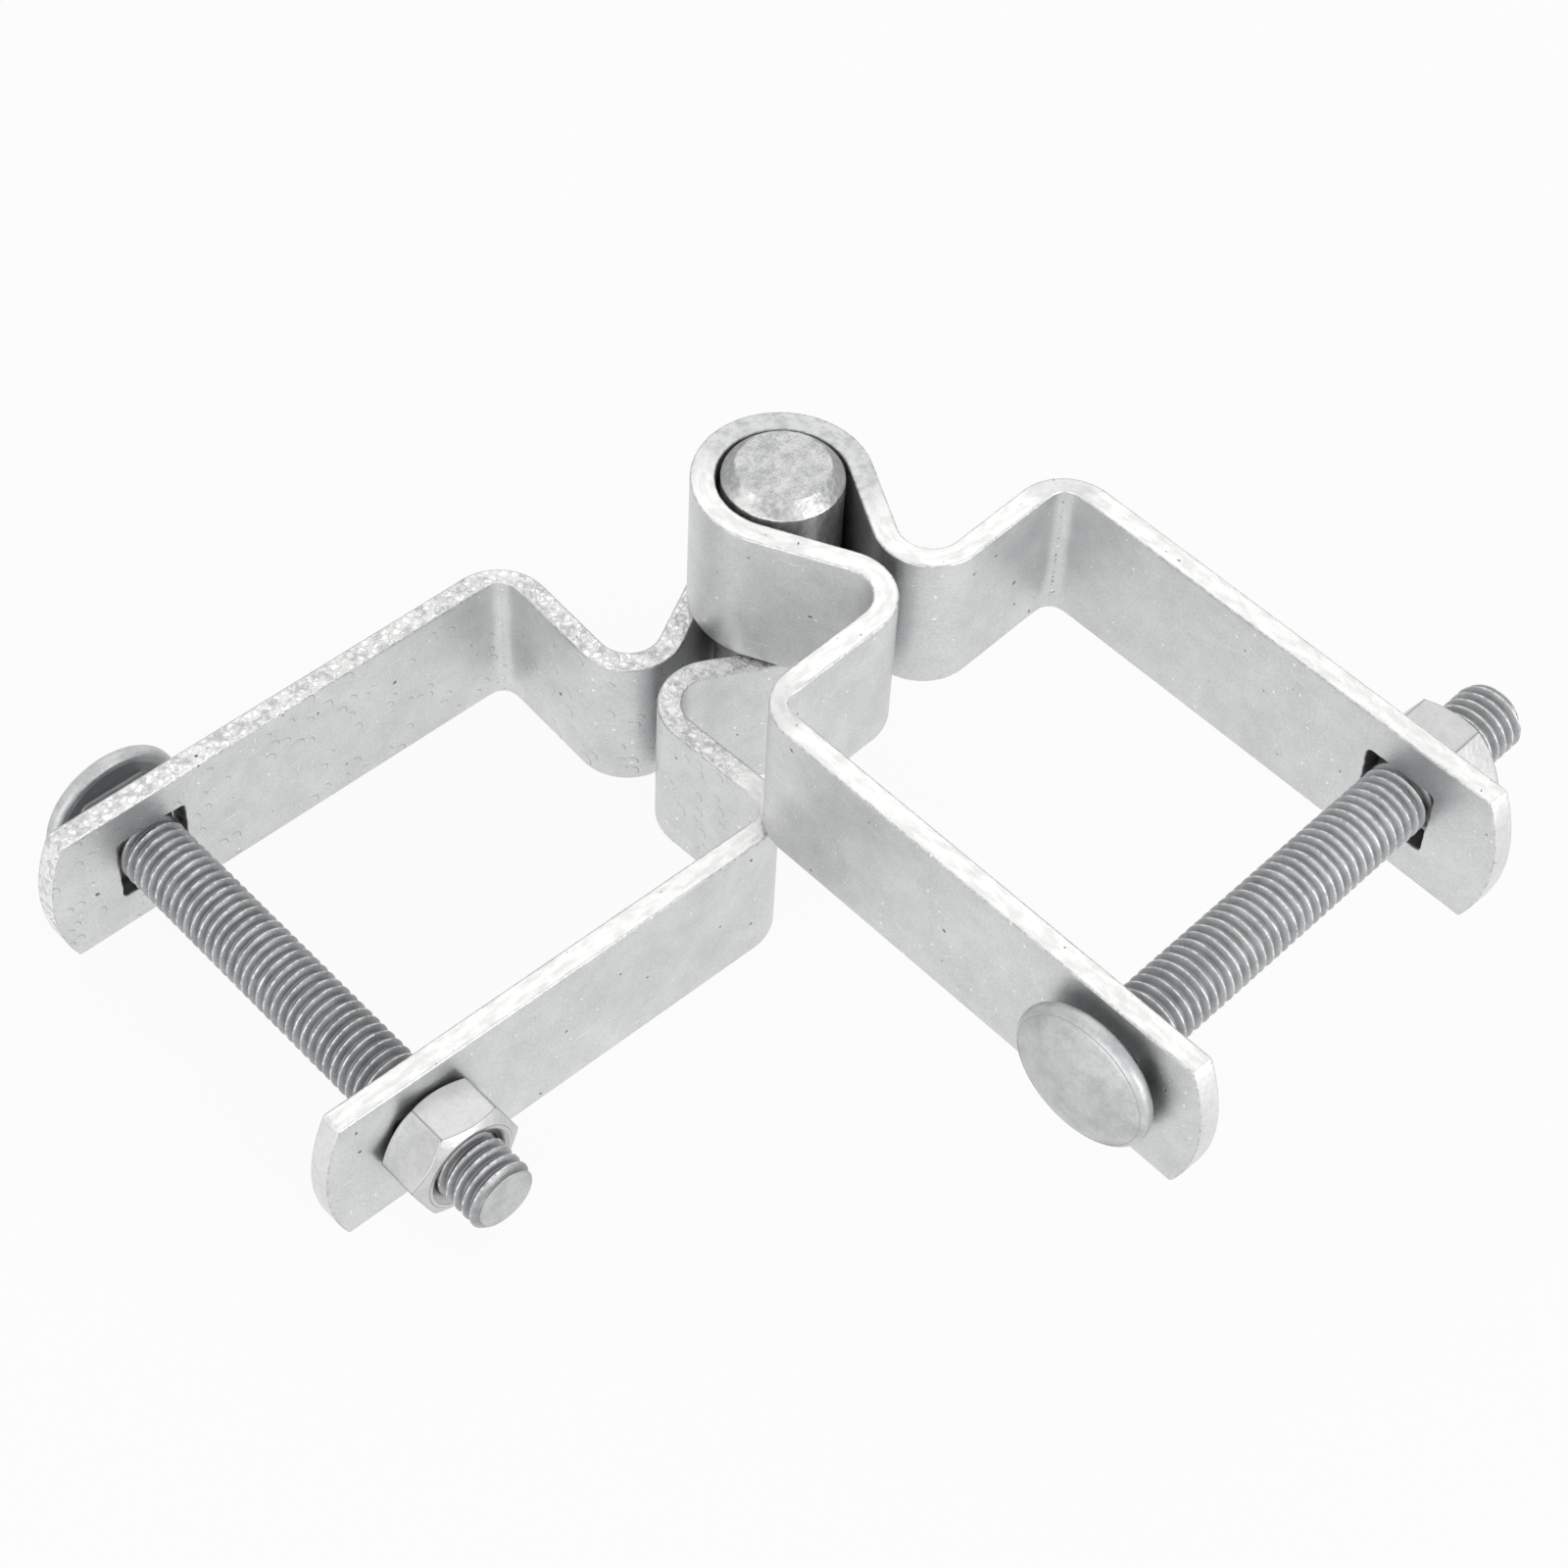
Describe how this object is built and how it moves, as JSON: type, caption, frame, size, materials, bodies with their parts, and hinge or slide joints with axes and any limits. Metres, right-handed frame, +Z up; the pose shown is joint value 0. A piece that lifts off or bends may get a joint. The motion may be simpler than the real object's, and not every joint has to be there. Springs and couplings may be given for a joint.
{
  "type": "fence post hinge",
  "caption": "Galvanised strap hinge for square posts: bent-bar clamps stacked on an upright pin, each closed by a carriage bolt and a nut.",
  "frame": {"origin": "on the hinge pin's axis, at the pin's foot, which is level with the lower strap's bottom edge", "axes": "+Z up the pin, +X along the post half's clamp from the pin to the bolt, +Y towards the post half's nut"},
  "size_m": [0.1483, 0.1411, 0.0473],
  "materials": {
    "zinc_strap": "hot-dip galvanised flat bar, matt grey faces with bright sheared edges",
    "zinc_pin": "hot-dip galvanised round bar, mottled",
    "zinc_bolt": "hot-dip galvanised, dull grey thread with bright crests",
    "zinc_nut": "galvanised, light grey"
  },
  "bodies": {
    "post_half": {"lower_strap": "zinc_strap"},
    "pin": {"hinge_pin": "zinc_pin"},
    "gate_half": {"upper_strap": "zinc_strap"},
    "post_bolt": {"lower_bolt": "zinc_bolt"},
    "post_nut": {"lower_nut": "zinc_nut"},
    "gate_bolt": {"upper_bolt": "zinc_bolt"},
    "gate_nut": {"upper_nut": "zinc_nut"}
  },
  "joints": [
    {"name": "gate_swing", "type": "hinge", "parent": "post_half", "child": "pin", "pos_m": [0, 0, 0.0111], "axis": [0, 0, 1], "continuous": true},
    {"name": "lift_off", "type": "slide", "parent": "pin", "child": "gate_half", "axis": [0, 0, 1], "range_m": [0, 0.026]},
    {"name": "post_nut_turn", "type": "hinge", "parent": "post_half", "child": "post_nut", "pos_m": [0.0838, 0.0337, 0.0111], "axis": [0, -1, 0], "range_deg": [-3240, 1080]},
    {"name": "post_bolt_draw", "type": "slide", "parent": "post_half", "child": "post_bolt", "axis": [0, 1, 0], "range_m": [-0.0135, 0.0045]},
    {"name": "gate_nut_turn", "type": "hinge", "parent": "gate_half", "child": "gate_nut", "pos_m": [-0.03529, 0.08228, 0.0339], "axis": [0.9979, 0.0655, 0], "range_deg": [-3960, 270]},
    {"name": "gate_bolt_draw", "type": "slide", "parent": "gate_half", "child": "gate_bolt", "axis": [-0.9979, -0.0655, 0], "range_m": [-0.0165, 0.00112]}
  ],
  "couplings": [
    {"joint": "post_nut_turn", "follows": "post_bolt_draw", "rad_per_m": 4188.8},
    {"joint": "gate_nut_turn", "follows": "gate_bolt_draw", "rad_per_m": 4188.8}
  ]
}
